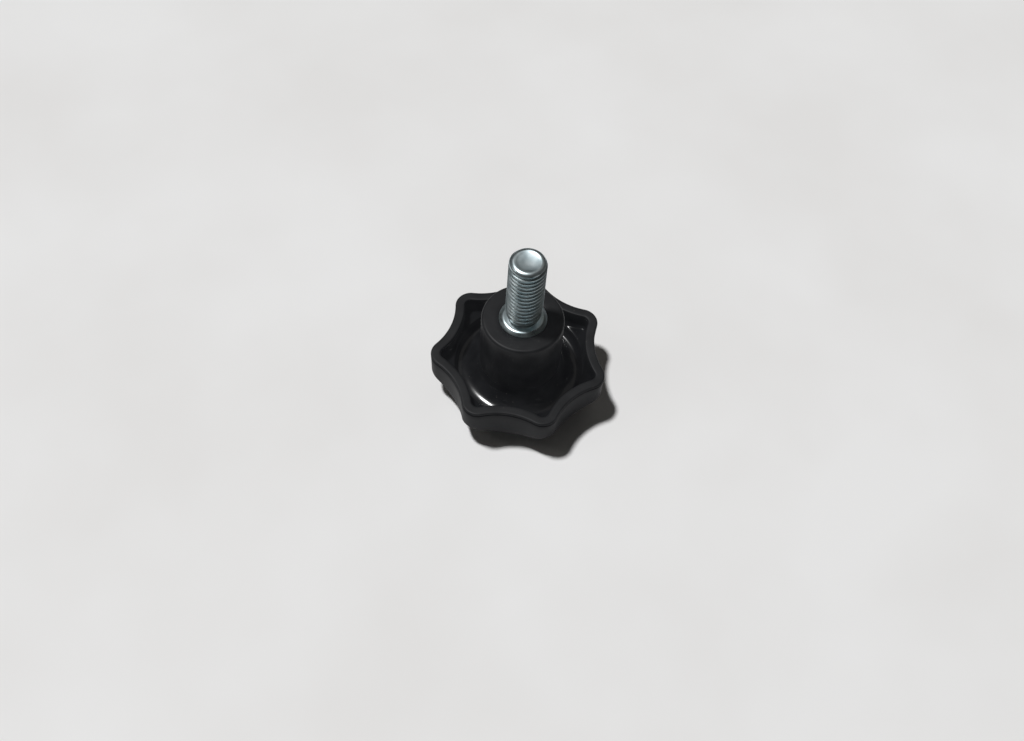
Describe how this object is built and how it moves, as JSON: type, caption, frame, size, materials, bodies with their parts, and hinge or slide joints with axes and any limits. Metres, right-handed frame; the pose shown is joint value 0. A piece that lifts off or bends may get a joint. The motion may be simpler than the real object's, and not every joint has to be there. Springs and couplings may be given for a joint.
{
  "type": "male threaded star knob",
  "caption": "Lobed plastic hand knob, hollow underneath, with a raised hub and a threaded steel stud moulded into it.",
  "frame": {"origin": "centre of the flat in the middle of the crown, on the stud's axis; the knob stands on it", "axes": "+Z along the stud's axis, from the crown to the stud's tip; a lobe points along +Y"},
  "size_m": [0.049, 0.048, 0.057],
  "materials": {
    "head_plastic": "black moulded thermoset, satin on the rim, walls and hub face, glossy inside the pocket",
    "stud_zinc": "bright bluish zinc plating on rolled thread, soft gloss"
  },
  "bodies": {
    "root": {"star_head": "head_plastic", "threaded_stud": "stud_zinc"}
  },
  "joints": []
}
